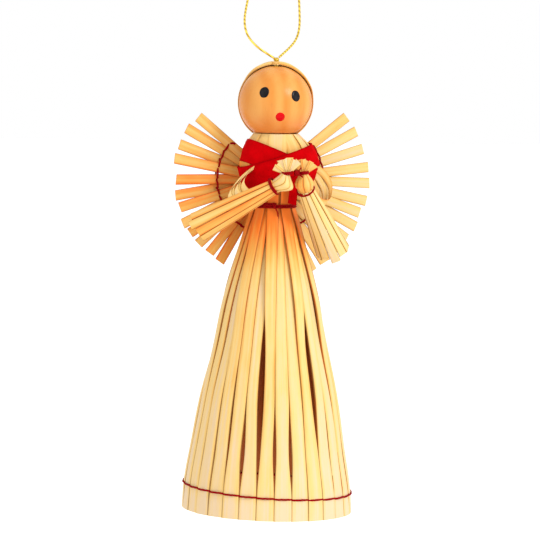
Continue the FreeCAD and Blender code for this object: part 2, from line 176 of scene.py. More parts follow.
# Arms, sleeves and hands
LEFT_ARM = [(-6.4, -3.6, -77.0), (-8.9, -4.9, -78.3), (-11.6, -5.3, -81.0), (-12.9, -7.0, -84.8),
            (-8.9, -10.1, -84.6), (-4.5, -13.1, -81.8)]
RIGHT_ARM = [(5.0, -0.6, -77.5), (10.6, -1.2, -78.4), (13.4, -2.8, -83.0), (11.4, -7.2, -87.9),
             (7.9, -11.3, -86.2), (5.9, -13.2, -83.1)]
# Each sleeve: wrist, middle of the open end, and the way its open slot faces
LEFT_SLEEVE = ((-3.6, -13.4, -81.6), (-21.8, -1.0, -93.5), (-0.06, 0.65, 0.76))
RIGHT_SLEEVE = ((4.9, -13.3, -82.4), (16.6, -3.0, -100.0), (0.0, 0.75, 0.66))
# Each hand: wrist, palm, pinch and fingertip
LEFT_HAND = ((-4.0, -13.2, -82.1), (-1.2, -14.9, -80.6), (-0.9, -15.0, -78.1), (-1.6, -15.3, -74.6))
RIGHT_HAND = ((5.2, -13.0, -83.3), (4.3, -14.2, -80.9), (4.0, -13.9, -78.1), (3.9, -14.0, -74.9))
ARM_STRAWS = 5
ARM_FAN = Vector((0.75, 0.0, 0.55))
ARM_LAYER = 0.2
ARM_FACING = Vector((0.55, 0.15, 0.8))
ARM_STRAW = (2.1, 0.5)
ARM_CLOSE = 0.25
ARM_WARMTH = (0.3, 0.5)
SLEEVE_STRAWS = 7
# Half the angle that the slot takes, and the sleeve's share of length and radius down it
SLEEVE_SLOT = 62
SLEEVE_RADII = ((0.0, 1.9), (0.35, 2.8), (1.0, 4.3))
SLEEVE_THICK = 0.6
SLEEVE_FILL = 0.99
SLEEVE_TRIM = (-1.2, 0.6)
SLEEVE_CUT = 0.25
WRIST_THREAD_R = 2.35
WRIST_THREAD_AT = 0.5
HAND_RADII = (1.5, 2.35, 0.8)
PALM_STRAWS = 8
PALM_OVERLAP = 1.06
PALM_THICK = 0.4
FINGER_STRAWS = 7
FINGER_STEP = 17
FINGER_REACH = (1.05, 1.25)
FINGER_CUT = 0.2
FINGER_PLEAT = 28
FINGER_THICK = 0.26
FINGER_START = 0.3
FINGER_SET_BACK = 0.5
FINGER_WIDTHS = ((0.0, 0.5), (0.35, 1.2), (1.0, 2.1))
PINCH_THREAD_R = 1.35
HANDS_THREAD_R = 0.28
# The windings of the hands' knot: axis, radius, turns
HANDS_WINDINGS = ((ACROSS, 0.55, 3.3), (UP + ACROSS, 0.62, 1.4))
HANDS_KNOT_AT = Vector((0.2, -0.9, 0))
HANDS_END_R = 0.2
HANDS_END_BEND = Vector((0, -0.35, 0))
HANDS_THREAD_ENDS = ((1.6, -0.4, -1.1), (1.0, -0.5, 1.5))

# Wings
WING_CENTRE = Vector((1.2, 7.9, -80.7))
WING_ROOT_R = 3.3
WING_FULL_R = 7.0
LEFT_WING_TIP_R = 27.4
RIGHT_WING_TIP_R = 28.6
WING_WIDTH = 2.7
WING_THICK = 0.5
WING_LAYERS = 3
WING_LAYER_STEP = 0.5
WING_THREAD_AT_R = 15.3
WING_END_DEG = 8
WING_END_DIP = 4.8
# Share of the straw's growth to its tip at each station, and how much wider it is at the tip
WING_SHARES = (0.0, 0.1, 0.2, 1.0)
WING_SPREAD = 0.08
WING_TRIM = (-0.7, 0.5)
WING_LEAN = 0.7
WING_CUT = 0.14
LEFT_WING_DEG = (38.5, 29.5, 19.5, 11, -1, -10.5, -17.5, -27, -34.5, -42, -50.5, -59)
RIGHT_WING_DEG = (38.5, 28, 17.5, 7, -2, -12, -19.5, -27.5, -36, -45, -54.5, -63)
WING_TIE_R = 2.9
WING_COIL_DEPTH = 1.0
WING_COIL_R = 0.25
WING_COIL_TURNS = 5
WING_COIL_STEPS = 30

# The hanger loop's route, as in the CAD part
HANGER_ROUTE = [
    (-0.83, 0, -47.29), (-3.0, -0.1, -46.1), (-6.2, -0.2, -44.1), (-8.7, -0.2, -41.2),
    (-9.5, -0.1, -37.6), (-8.9, 0.1, -33.6), (-7.6, 0.3, -27.6), (-6.2, 0.4, -20.4),
    (-5.1, 0.3, -13.4), (-4.3, 0.1, -7.2), (-3.6, 0, -3.4), (-2.78, 0, -1.12), (-0.98, 0, 0.14),
    (1.11, 0, -0.04), (2.67, 0, -1.6), (3.32, 0, -4.0), (3.9, -0.1, -7.8), (4.35, -0.3, -13.6),
    (5.0, -0.4, -20.8), (5.75, -0.3, -28.2), (6.3, -0.1, -34.6), (6.5, 0.1, -39.0),
    (5.6, 0.2, -42.4), (3.2, 0.1, -45.05), (0.73, 0, -47.14),
]
HANGER_D = 0.6

# The camera
VIEW_AZIMUTH = -17.0
VIEW_ELEVATION = 4.3
VIEW_ROLL = 1.26
VIEW_DISTANCE = 800.0
VIEW_LENS = 194.0
VIEW_TARGET_Z = -105.5
VIEW_TARGET_SIDE = -0.5
VIEW_RIGHT = Vector((math.cos(math.radians(VIEW_AZIMUTH)), math.sin(math.radians(VIEW_AZIMUTH)), 0))

# The stage, in metres and watts. Each light: place, size, power
KEY_LIGHT = ((0.45, -0.75, 0.5), 0.3, 6.5)
FILL_LIGHT = ((-0.9, -0.5, 0.1), 0.8, 0.8)
FLOOR_REACH = 4.0
FLOOR_Z = -0.201

draw = random.Random(24)
straw_numbers = itertools.count(1)


# ---- small geometry helpers

def turned(vector, axis, degrees):
    """A vector turned about an axis by the right-hand rule."""
    return Matrix.Rotation(math.radians(degrees), 3, axis) @ Vector(vector)


def smoothstep(low, high, value):
    """0 below low, 1 above high, and smooth between."""
    share = min(1.0, max(0.0, (value - low) / (high - low)))
    return share * share * (3 - 2 * share)


def powered(value, power):
    """A value in -1 to 1 raised to a power, with its sign kept."""
    return math.copysign(abs(value) ** power, value)


def turn_angles(count):
    """Evenly spaced angles round a full turn, in radians."""
    return [2 * math.pi * k / count for k in range(count)]


def drift(number, at, spread, pace, channel):
    """A smooth random value at a place along a straw, different for each straw."""
    return noise.noise(Vector((number * spread, at * pace, channel)))


def outward_at(turn, lift):
    """The direction away from the axis at a turn from the front and a lift from level."""
    return turned(turned(-BACK, ACROSS, -lift), UP, turn)


def add_object(name, data):
    made = bpy.data.objects.new(name, data)
    bpy.context.scene.collection.objects.link(made)
    return made


def chords(places):
    """The distance along a list of places, up to each of them."""
    lengths = [0.0]
    for before, after in zip(places, places[1:]):
        lengths.append(lengths[-1] + (after - before).length)
    return lengths


def slope(values, knots, index):
    """How fast the values change at a knot."""
    low = max(index - 1, 0)
    high = min(index + 1, len(values) - 1)
    return (values[high] - values[low]) / (knots[high] - knots[low])


def smooth(values, knots, at):
    """A smooth curve through values placed at knots."""
    index = 0
    while index < len(knots) - 2 and at > knots[index + 1]:
        index += 1
    span = knots[index + 1] - knots[index]
    u = (at - knots[index]) / span
    start = values[index] * (2 * u ** 3 - 3 * u ** 2 + 1)
    start = start + slope(values, knots, index) * (span * (u ** 3 - 2 * u ** 2 + u))
    end = values[index + 1] * (3 * u ** 2 - 2 * u ** 3)
    end = end + slope(values, knots, index + 1) * (span * (u ** 3 - u ** 2))
    return start + end


def curve_points(places, count):
    """Evenly spaced points on a smooth curve through places."""
    places = [Vector(place) for place in places]
    knots = chords(places)
    return [smooth(places, knots, knots[-1] * step / (count - 1)) for step in range(count)]


def torso_size(height):
    """Offset along X, half width and half depth of the torso at a height."""
    height = min(TORSO_RINGS[0][0], max(TORSO_RINGS[-1][0], height))
    knots = [-ring[0] for ring in TORSO_RINGS]
    return tuple(smooth([ring[column] for ring in TORSO_RINGS], knots, -height) for column in (1, 2, 3))


# ---- meshes

class Surface:
    """A mesh in the making, with what the straw material reads at each vertex: the place across
    and along its straw and the straw's number, how near the straw's edge it is, and its warmth."""

    def __init__(self):
        self.points = []
        self.faces = []
        self.grain = []
        self.edge = []
        self.warm = []

    def point(self, place, grain=(0.0, 0.0, 0.0), edge=0.0, warm=0.5):
        self.points.append(place * MM)
        self.grain.append(grain)
        self.edge.append(edge)
        self.warm.append(warm)
        return len(self.points) - 1

    def wall(self, lower, upper):
        """Quads between two closed rings of vertices."""
        count = len(lower)
        for k in range(count):
            after = (k + 1) % count
            self.faces.append((lower[k], lower[after], upper[after], upper[k]))

    def skin(self, rings, closed=False):
        """Walls from each ring to the next, and from the last to the first if closed."""
        for lower, upper in zip(rings, rings[1:] + rings[:1] if closed else rings[1:]):
            self.wall(lower, upper)

    def cap(self, ring):
        """A fan of triangles that closes a ring."""
        middle = sum((self.points[k] for k in ring), Vector()) / len(ring)
        centre = self.point(middle / MM, self.grain[ring[0]], 0.0, self.warm[ring[0]])
        for k in range(len(ring)):
            self.faces.append((ring[k], ring[(k + 1) % len(ring)], centre))

    def build(self, name, material, slot, *nodes, body="figure"):
        """Makes the object, puts it on the body it rides on, and hides the CAD nodes it stands for."""
        mesh = bpy.data.meshes.new(name)
        mesh.from_pydata(self.points, [], self.faces)
        for label, kind, values in (("grain", "FLOAT_VECTOR", self.grain),
                                    ("edge", "FLOAT", self.edge), ("warm", "FLOAT", self.warm)):
            layer = mesh.attributes.new(label, kind, "POINT")
            if kind == "FLOAT":
                layer.data.foreach_set("value", values)
            else:
                layer.data.foreach_set("vector", [number for row in values for number in row])
        shell = bmesh.new()
        shell.from_mesh(mesh)
        bmesh.ops.recalc_face_normals(shell, faces=shell.faces)
        shell.to_mesh(mesh)
        shell.free()
        mesh.shade_smooth()
        mesh.set_sharp_from_angle(angle=math.radians(SHARP_DEG))
        mesh.materials.append(material)
        piece = add_object(name, mesh)
        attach(piece, body)
        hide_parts(*nodes)


# A straw's wall, its open end, the fold along it, the shape of its section, and how it varies
STRAW_WALL = 0.14
CAVITY_DEPTH = 5.0
# Painted shade: the warmth of the colour inside a straw's open end
CAVITY_SHADE_WARMTH = 0.9
FOLD_DEPTH = 0.1
FOLD_WIDTH = 0.16
SECTION_POWER = 0.65
LEAST_HALF = 0.04
TONE_JITTER = 0.13
WIDTH_JITTER = 0.025
# How drift varies between straws and along one, and its channel
WIDTH_DRIFT = (3.71, 0.09, 9.5)
COURSE_DRIFT = (7.13, 0.06, 0.5)
# How far the plies of a thread stand out, and the length in which they go round it once
PLY_DEPTH = 0.12
PLY_LENGTH = 1.6


def straw_ring(surface, station, shrink, at, number, warm, cut, forward, around):
    """One ring of vertices round a flattened straw, shrunk a little, with its cut slanted."""
    centre, wide, thin, width, thickness = station
    ring = []
    for angle in turn_angles(around):
        x = math.cos(angle) * (width / 2 - shrink)
        fold = FOLD_DEPTH * thickness * math.exp(-((x / (FOLD_WIDTH * width)) ** 2))
        y = powered(math.sin(angle), SECTION_POWER) * max(thickness / 2 - shrink, LEAST_HALF)
        y -= math.copysign(fold, y) * abs(math.sin(angle))
        place = centre + wide * x + thin * y + forward * (cut * x)
        ring.append(surface.point(place, (x, at, float(number)), abs(math.cos(angle)), warm))
    return ring


def straw(surface, stations, warm, steps=22, around=16, cut=0.0, wobble=0.12, hollow=True):
    """Adds a flattened straw through stations of (centre, wide, thin, width, thickness). warm is
    the warmth of its colour at its start and at its end, and a hollow straw's far end is open."""
    number = next(straw_numbers)
    centres = [station[0] for station in stations]
    knots = chords(centres)
    columns = list(zip(*stations))
    tone = draw.uniform(-TONE_JITTER, TONE_JITTER)
    forward = (centres[-1] - centres[-2]).normalized()

    def ring(at, shrink, heat, slant):
        centre, wide, thin, width, thickness = (smooth(column, knots, at) for column in columns)
        wide = wide.normalized()
        thin = (thin - wide * thin.dot(wide)).normalized()
        centre = centre + thin * (wobble * drift(number, at, *COURSE_DRIFT))
        width = width * (1 + WIDTH_JITTER * drift(number, at, *WIDTH_DRIFT))
        station = (centre, wide, thin, width, thickness)
        return straw_ring(surface, station, shrink, at, number, heat, slant, forward, around)

    outside = []
    for step in range(steps + 1):
        heat = warm[0] + (warm[1] - warm[0]) * step / steps + tone
        slant = cut if step == steps else 0.0
        outside.append(ring(knots[-1] * step / steps, 0.0, heat, slant))
    surface.skin(outside)
    surface.cap(outside[0])
    inside = [outside[-1]]
    if hollow:
        # The inside of the open end is painted warmer, as shade
        for share, slant in ((0.0, cut), (0.5, 0.0), (1.0, 0.0)):
            inside.append(ring(knots[-1] - CAVITY_DEPTH * share, STRAW_WALL, CAVITY_SHADE_WARMTH, slant))
    surface.skin(inside)
    surface.cap(inside[-1])


def tube(surface, path, radius, closed=False, around=8, lobes=3):
    """Adds a thread along a list of points, round but for the lobes of its twisted plies."""
    count = len(path)
    length = 0.0
    side = None
    rings = []
    for index, place in enumerate(path):
        before = path[index - 1] if index or closed else path[0]
        after = path[(index + 1) % count] if index < count - 1 or closed else path[-1]
        forward = (after - before).normalized()
        if side is None:
            side = forward.orthogonal().normalized()
        side = (side - forward * side.dot(forward)).normalized()
        other = forward.cross(side)
        ring = []
        for angle in turn_angles(around):
            ply = 1 + PLY_DEPTH * math.cos(lobes * angle - 2 * math.pi * length / PLY_LENGTH)
            offset = (side * math.cos(angle) + other * math.sin(angle)) * (radius * ply)
            ring.append(surface.point(place + offset, (radius * angle, length, 0.0)))
        rings.append(ring)
        if index < count - 1:
            length += (path[index + 1] - place).length
    surface.skin(rings, closed)
    if not closed:
        surface.cap(rings[0])
        surface.cap(rings[-1])


def wound(centre, axis, radius, pitch, turns, steps):
    """The points of a thread that is wound round an axis, with its middle turn at the centre."""
    axis = axis.normalized()
    side = axis.orthogonal().normalized()
    points = []
    for step in range(int(steps * turns) + 1):
        turn = step / steps
        lift = (turn - turns / 2) * pitch
        points.append(centre + turned(side, axis, 360 * turn) * radius + axis * lift)
    return points


# ---- materials

class Shader:
    """A material, with short ways to add and join its nodes."""

    def __init__(self, name, **inputs):
        self.material = bpy.data.materials.new(name)
        self.material.use_nodes = True
        self.tree = self.material.node_tree
        self.finish = self.tree.nodes["Principled BSDF"]
        for label, value in inputs.items():
            self.finish.inputs[label.replace("_", " ")].default_value = value

    def node(self, kind, inputs=None, **settings):
        made = self.tree.nodes.new(kind)
        for label, value in settings.items():
            setattr(made, label, value)
        for label, value in (inputs or {}).items():
            if isinstance(value, bpy.types.NodeSocket):
                self.tree.links.new(value, made.inputs[label])
            else:
                made.inputs[label].default_value = value
        return made

    def maths(self, operation, first, second):
        return self.node("ShaderNodeMath", {0: first, 1: second}, operation=operation).outputs[0]

    def times(self, first, second):
        return self.maths("MULTIPLY", first, second)

    def attribute(self, name, output="Fac"):
        return self.node("ShaderNodeAttribute", attribute_name=name).outputs[output]

    def stretched(self, vector, scale):
        made = self.node("ShaderNodeVectorMath", {0: vector, 1: scale}, operation="MULTIPLY")
        return made.outputs[0]

    def object_place(self, scale):
        return self.stretched(self.node("ShaderNodeTexCoord").outputs["Object"], scale)

    def place_in_mm(self):
        return self.object_place((1 / MM, 1 / MM, 1 / MM))

    def noise(self, vector, scale=1.0, detail=2.0):
        made = self.node("ShaderNodeTexNoise", {"Vector": vector, "Scale": scale, "Detail": detail})
        return made.outputs["Fac"]

    def wave(self, vector, scale, distortion=0.0, direction="X"):
        made = self.node("ShaderNodeTexWave", {"Vector": vector, "Scale": scale, "Distortion": distortion},
                         wave_type="BANDS", bands_direction=direction)
        return made.outputs["Fac"]

    def ramp(self, factor, *stops):
        made = self.node("ShaderNodeValToRGB", {0: factor})
        elements = made.color_ramp.elements
        while len(elements) < len(stops):
            elements.new(0.5)
        for element, (position, colour) in zip(elements, stops):
            element.position = position
            element.color = (*colour, 1.0)
        return made.outputs["Color"]

    def between(self, factor, low, high):
        made = self.node("ShaderNodeMapRange", {0: factor, 1: low, 2: high}, interpolation_type="SMOOTHSTEP")
        return made.outputs[0]

    def mix(self, factor, first, second):
        made = self.node("ShaderNodeMix", {0: factor, 6: first, 7: second}, data_type="RGBA")
        return made.outputs[2]

    def range(self, factor, low, high):
        made = self.node("ShaderNodeMapRange", {0: factor, 3: low, 4: high})
        return made.outputs[0]

    def paint(self, label, socket):
        self.tree.links.new(socket, self.finish.inputs[label])

    def bump(self, height, strength, distance_mm):
        made = self.node("ShaderNodeBump", {"Height": height, "Strength": strength,
                                            "Distance": distance_mm * MM})
        self.paint("Normal", made.outputs[0])


# Colours from pale to warm by their place on the ramp, then the ones that are mixed in
STRAW_COLOURS = (
    (0.0, (0.69, 0.51, 0.31)),
    (0.33, (0.74, 0.50, 0.17)),
    (0.66, (0.71, 0.35, 0.07)),
    (1.0, (0.78, 0.17, 0.016)),
)
WOOD_COLOURS = ((0.25, (0.62, 0.215, 0.032)), (0.5, (0.66, 0.265, 0.052)), (0.8, (0.69, 0.315, 0.075)))
RIBBON_COLOURS = ((0.3, (0.41, 0.0, 0.001)), (0.7, (0.55, 0.0, 0.002)))
THREAD_COLOURS = ((0.05, (0.14, 0.0, 0.001)), (0.6, (0.42, 0.001, 0.003)))
GOLD_COLOURS = ((0.02, (0.42, 0.27, 0.03)), (0.45, (0.86, 0.62, 0.10)))
FLOOR_COLOURS = ((0.3, (0.90, 0.90, 0.90)), (0.7, (0.93, 0.93, 0.93)))
# Painted shade along the creases and edges of straws
EDGE_SHADE_BROWN = (0.17, 0.055, 0.012, 1.0)
# Painted shade on the inner side of skirt straws
INSIDE_SHADE_RED = (0.42, 0.10, 0.014, 1.0)
# Painted shade under the chin
CHIN_SHADE_RED = (0.70, 0.19, 0.035, 1.0)
PORE_BROWN = (0.45, 0.17, 0.04, 1.0)
# Darker red towards each edge of the ribbon
RIBBON_EDGE_RED = (0.20, 0.0, 0.002, 1.0)
WEAVE_RED = (0.30, 0.0, 0.001, 1.0)
# Each pattern on straw: its scale across, along and between straws, its detail, and the warmth it
# takes off or adds
STRAW_PATTERNS = {
    "fibre": ((5.5, 0.05, 3.0), 3.0, (-0.16, 0.16)),
    "streak": ((1.5, 0.02, 5.0), 1.0, (-0.26, 0.22)),
    "blotch": ((0.5, 0.12, 2.0), 2.0, (-0.18, 0.16)),
}
# Warmth added towards a straw's edges as painted shade
EDGE_SHADE_WARMTH = 0.34
# Edge values where the painted shade along the creases starts and is full
CREASE_SHADE_EDGE = (0.88, 0.99)
# Edge values where the dark red painted shade inside the skirt starts and is full
INSIDE_SHADE_EDGE = (1.1, 1.7)
GRAIN_SHARE = 0.65
# Heights where the painted shade under the chin starts and is full
CHIN_SHADE_Z = (-61.0, -69.0)


def straw_material():
    """Split straw: long fibres across its width, warmer or paler by place, and painted shade: brown along its
    creases, dark red where a skirt straw faces in.
    """
    shader = Shader("straw", Specular_IOR_Level=0.18)
    grain = shader.attribute("grain", "Vector")
    edge = shader.attribute("edge")
    warmth = shader.attribute("warm")
    patterns = {}
    for label, (scale, detail, tones) in STRAW_PATTERNS.items():
        patterns[label] = shader.noise(shader.stretched(grain, scale), detail=detail)
        warmth = shader.maths("ADD", warmth, shader.range(patterns[label], *tones))
    # Painted shade: warmer and browner towards each straw's edges and creases
    warmth = shader.maths("ADD", warmth, shader.times(shader.maths("POWER", edge, 3.0), EDGE_SHADE_WARMTH))
    crease_shade = shader.times(shader.between(edge, *CREASE_SHADE_EDGE), shader.range(patterns["streak"], 0.45, 1.0))
    colour = shader.mix(crease_shade, shader.ramp(warmth, *STRAW_COLOURS), EDGE_SHADE_BROWN)
    # Painted shade: dark red where a skirt straw faces inwards
    shader.paint("Base Color", shader.mix(shader.between(edge, *INSIDE_SHADE_EDGE), colour, INSIDE_SHADE_RED))
    shader.paint("Roughness", shader.range(patterns["fibre"], 0.38, 0.62))
    shader.bump(patterns["fibre"], 0.5, 0.05)
    return shader.material


def wood_material():
    """Varnished turned wood with its grain along the bore, and painted shade that makes it a little redder
    below the mouth.
    """
    shader = Shader("bead_wood", Coat_Weight=0.12, Coat_Roughness=0.2, Specular_IOR_Level=0.15)
    long_grain = shader.noise(shader.object_place((420.0, 420.0, 38.0)), detail=4.0)
    pores = shader.noise(shader.object_place((2600.0, 2600.0, 240.0)))
    rings = shader.wave(shader.object_place((1.0, 1.0, 0.12)), 70.0, 3.5)
    figure = shader.maths("ADD", shader.times(long_grain, GRAIN_SHARE), shader.times(rings, 1 - GRAIN_SHARE))
    height = shader.node("ShaderNodeSeparateXYZ", {0: shader.place_in_mm()}).outputs["Z"]
    chin_shade = shader.times(shader.between(height, *CHIN_SHADE_Z), 0.75)
    colour = shader.mix(chin_shade, shader.ramp(figure, *WOOD_COLOURS), CHIN_SHADE_RED)
    pore_share = shader.times(shader.between(pores, 0.62, 0.74), 0.35)
    shader.paint("Base Color", shader.mix(pore_share, colour, PORE_BROWN))
    shader.paint("Roughness", shader.range(pores, 0.28, 0.5))
    shader.bump(long_grain, 0.25, 0.04)
    return shader.material


def paint_material(name, dark, light):
    """Brushed enamel with small differences in depth of colour."""
    shader = Shader(name, Coat_Weight=0.05, Coat_Roughness=0.08, Specular_IOR_Level=0.04)
    patches = shader.noise(shader.object_place((900.0, 900.0, 900.0)), detail=3.0)
    shader.paint("Base Color", shader.ramp(patches, (0.3, dark), (0.7, light)))
    shader.paint("Roughness", shader.range(patches, 0.18, 0.4))
    shader.bump(patches, 0.3, 0.03)
    return shader.material


def ribbon_material():
    """Red satin ribbon: fine warp and weft, and darker towards each edge."""
    shader = Shader("red_ribbon", Specular_IOR_Level=0.02)
    grain = shader.attribute("grain", "Vector")
    weave = shader.times(shader.wave(grain, 1.1, 0.6), shader.wave(grain, 0.9, 0.6, "Y"))
    edge_darkening = shader.times(shader.between(shader.attribute("edge"), 0.86, 0.97), 0.45)
    colour = shader.mix(edge_darkening, shader.ramp(shader.noise(grain, 0.35), *RIBBON_COLOURS), RIBBON_EDGE_RED)
    shader.paint("Base Color", shader.mix(shader.range(weave, 0.2, 0.0), colour, WEAVE_RED))
    shader.paint("Roughness", shader.range(weave, 0.85, 0.6))
    shader.bump(weave, 0.5, 0.04)
    return shader.material


def thread_material():
    """Dark red sewing thread, with painted shade that darkens it where its plies meet."""
    shader = Shader("red_thread", Roughness=0.7, Specular_IOR_Level=0.06)
    grain = shader.attribute("grain", "Vector")
    plies = shader.wave(shader.stretched(grain, (1.0, 0.6, 1.0)), 1.6, direction="DIAGONAL")
    shade = shader.times(plies, shader.noise(shader.stretched(grain, (9.0, 3.0, 1.0))))
    shader.paint("Base Color", shader.ramp(shade, *THREAD_COLOURS))
    shader.bump(shade, 0.5, 0.04)
    return shader.material


def gold_material():
    """Flat metallic thread: gold foil wrapped on a core, with fine turns painted bright as sheen and dark
    between as shade, and dull patches.
    """
    shader = Shader("gold_thread", Metallic=0.75, Specular_Tint=(1.0, 0.85, 0.4, 1.0))
    place = shader.place_in_mm()
    wraps = shader.wave(place, 0.55, 0.8, "DIAGONAL")
    dull = shader.noise(place, 0.6, 3.0)
    shader.paint("Base Color", shader.ramp(shader.times(wraps, dull), *GOLD_COLOURS))
    shader.paint("Roughness", shader.range(dull, 0.25, 0.5))
    shader.bump(wraps, 0.4, 0.05)
    return shader.material


def floor_material():
    """Plain matt white board."""
    shader = Shader("floor_white", Roughness=0.9, Emission_Strength=0.25)
    shader.finish.inputs["Emission Color"].default_value = (1, 1, 1, 1)
    tooth = shader.noise(shader.object_place((40.0, 40.0, 40.0)))
    shader.paint("Base Color", shader.ramp(tooth, *FLOOR_COLOURS))
    return shader.material


# ---- camera, light, floor and cord

def make_camera():
    back = outward_at(VIEW_AZIMUTH, VIEW_ELEVATION)
    target = UP * VIEW_TARGET_Z + VIEW_RIGHT * VIEW_TARGET_SIDE
    data = bpy.data.cameras.new("camera")
    data.lens = VIEW_LENS
    camera = add_object("camera", data)
    camera.location = (target + back * VIEW_DISTANCE) * MM
    roll = Quaternion((0, 0, 1), math.radians(VIEW_ROLL))
    camera.rotation_euler = (back.to_track_quat("Z", "Y") @ roll).to_euler()
    bpy.context.scene.camera = camera


def make_light(name, place, size, power):
    """A square soft light that faces the middle of the object."""
    data = bpy.data.lights.new(name, "AREA")
    data.size = size
    data.energy = power
    lamp = add_object(name, data)
    lamp.location = place
    middle = UP * (VIEW_TARGET_Z * MM)
    lamp.rotation_euler = (lamp.location - middle).to_track_quat("Z", "Y").to_euler()


def make_stage():
    """White surroundings, one soft light on each side of the camera, and a floor below."""
    scene = bpy.context.scene
    scene.view_settings.view_transform = "Standard"
    scene.world = bpy.data.worlds.new("studio")
    scene.world.use_nodes = True
    background = scene.world.node_tree.nodes["Background"]
    background.inputs["Color"].default_value = (1.0, 1.0, 1.0, 1.0)
    background.inputs["Strength"].default_value = 1.0
    make_light("key", *KEY_LIGHT)
    make_light("fill", *FILL_LIGHT)
    mesh = bpy.data.meshes.new("floor")
    corners = [(x * FLOOR_REACH, y * FLOOR_REACH, FLOOR_Z) for x, y in ((-1, -1), (1, -1), (1, 1), (-1, 1))]
    mesh.from_pydata(corners, [], [(0, 1, 2, 3)])
    mesh.materials.append(floor_material())
    floor = add_object("floor", mesh)


def make_hanger(gold):
    """The loop of gold thread, one free cord from the crown knot over the hook and back."""
    data = bpy.data.curves.new("hanger_cord", "CURVE")
    data.dimensions = "3D"
    spline = data.splines.new("NURBS")
    spline.points.add(len(HANGER_ROUTE) - 1)
    for point, place in zip(spline.points, HANGER_ROUTE):
        point.co = (*(Vector(place) * MM), 1.0)
    spline.order_u = 3
    spline.use_endpoint_u = True
    spline.resolution_u = 12
    data.bevel_depth = HANGER_D / 2 * MM
    data.bevel_resolution = 4
    data.use_fill_caps = True
    data.materials.append(gold)
    cord = add_object("hanger_cord", data)
    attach(cord, "hanger")
    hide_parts("hanger_loop")
    tuple(Vector(HANGER_ROUTE[0]) * MM)


def make_crown_knot(gold):
    """An overhand knot where the two ends of the loop meet the crown."""
    wide, deep, high = CROWN_KNOT_SIZE
    path = []
    for t in turn_angles(CROWN_KNOT_STEPS):
        x = math.sin(t) + 2 * math.sin(2 * t)
        y = math.cos(t) - 2 * math.cos(2 * t)
        path.append(Vector((x * wide, y * deep, CROWN_KNOT_Z - high * math.sin(3 * t))))
    surface = Surface()
    tube(surface, path, CROWN_THREAD_R, closed=True, around=10, lobes=2)
    surface.build("crown_thread_knot", gold, "gold_thread", "crown_knot", body="crown")


# ---- head

def bead_profile():
    """Radius and height along the bead's outline: over the ball, across the flat and up the bore."""
    top = math.degrees(math.asin(BEAD_BORE_R / BEAD_R)) + BEAD_RIM_DEG
    flat = math.degrees(math.acos((BEAD_FLAT_Z - BEAD_CENTRE.z) / BEAD_R))
    profile = []
    for step in range(BEAD_STEPS + 1):
        polar = math.radians(top + (flat - BEAD_RIM_DEG - top) * step / BEAD_STEPS)
        profile.append((BEAD_R * math.sin(polar), BEAD_CENTRE.z + BEAD_R * math.cos(polar)))
    foot_r = BEAD_R * math.sin(math.radians(flat))
    inset, lift = BEAD_EDGE_ROUND
    rim_z = BEAD_CENTRE.z + math.sqrt(BEAD_R ** 2 - BEAD_BORE_R ** 2)
    return profile + [
        (foot_r - inset, BEAD_FLAT_Z + lift),
        (foot_r - BEAD_EDGE, BEAD_FLAT_Z),
        (BEAD_BORE_R + BEAD_LIP, BEAD_FLAT_Z),
        (BEAD_BORE_R, BEAD_FLAT_Z + BEAD_LIP_RISE),
        (BEAD_BORE_R, rim_z - BEAD_RIM_DROP),
    ]


def make_bead(wood):
    """A turned ball: bore, softened rims, and the flat that sits on the neck."""
    surface = Surface()
    rings = []
    for radius, height in bead_profile():
        ring = []
        for angle in turn_angles(BEAD_AROUND):
            spot = Vector((math.cos(angle), math.sin(angle), height * BEAD_WAVE_PACE))
            reach = radius * (1 + BEAD_WAVE * noise.noise(spot))
            ring.append(surface.point(Vector((reach * math.cos(angle), reach * math.sin(angle), height))))
        rings.append(ring)
    surface.skin(rings, closed=True)
    surface.build("wooden_head", wood, "bead_wood", "head_bead", body="head")


def make_dot(name, node, material, slot, spot):
    """A drop of paint on the bead, thickest near its middle and a little uneven round its edge."""
    turn, lift, half_width, half_height = spot
    outward = outward_at(turn, lift)
    sideways = outward.cross(UP).normalized()
    upward = sideways.cross(outward).normalized()
    surface = Surface()
    rings = []
    for layer in range(1, DOT_LAYERS + 1):
        share = layer / DOT_LAYERS
        ring = []
        for angle in turn_angles(DOT_AROUND):
            x = math.cos(angle)
            y = math.sin(angle)
            wave = 1 + PAINT_WAVE * noise.noise(Vector((x * PAINT_WAVE_PACE, y * PAINT_WAVE_PACE, turn)))
            flat = sideways * (x * half_width) + upward * (y * half_height)
            direction = (outward * BEAD_R + flat * (share * wave)).normalized()
            rise = PAINT_RISE * math.sqrt(1 + PAINT_RIM - share ** 4)
            ring.append(surface.point(BEAD_CENTRE + direction * (BEAD_R + rise)))
        rings.append(ring)
    under = []
    for k in rings[-1]:
        direction = (surface.points[k] / MM - BEAD_CENTRE).normalized()
        under.append(surface.point(BEAD_CENTRE + direction * (BEAD_R - PAINT_SINK)))
    surface.skin(rings + [under])
    surface.cap(rings[0])
    surface.cap(under)
    surface.build(name, material, slot, node, body="head")


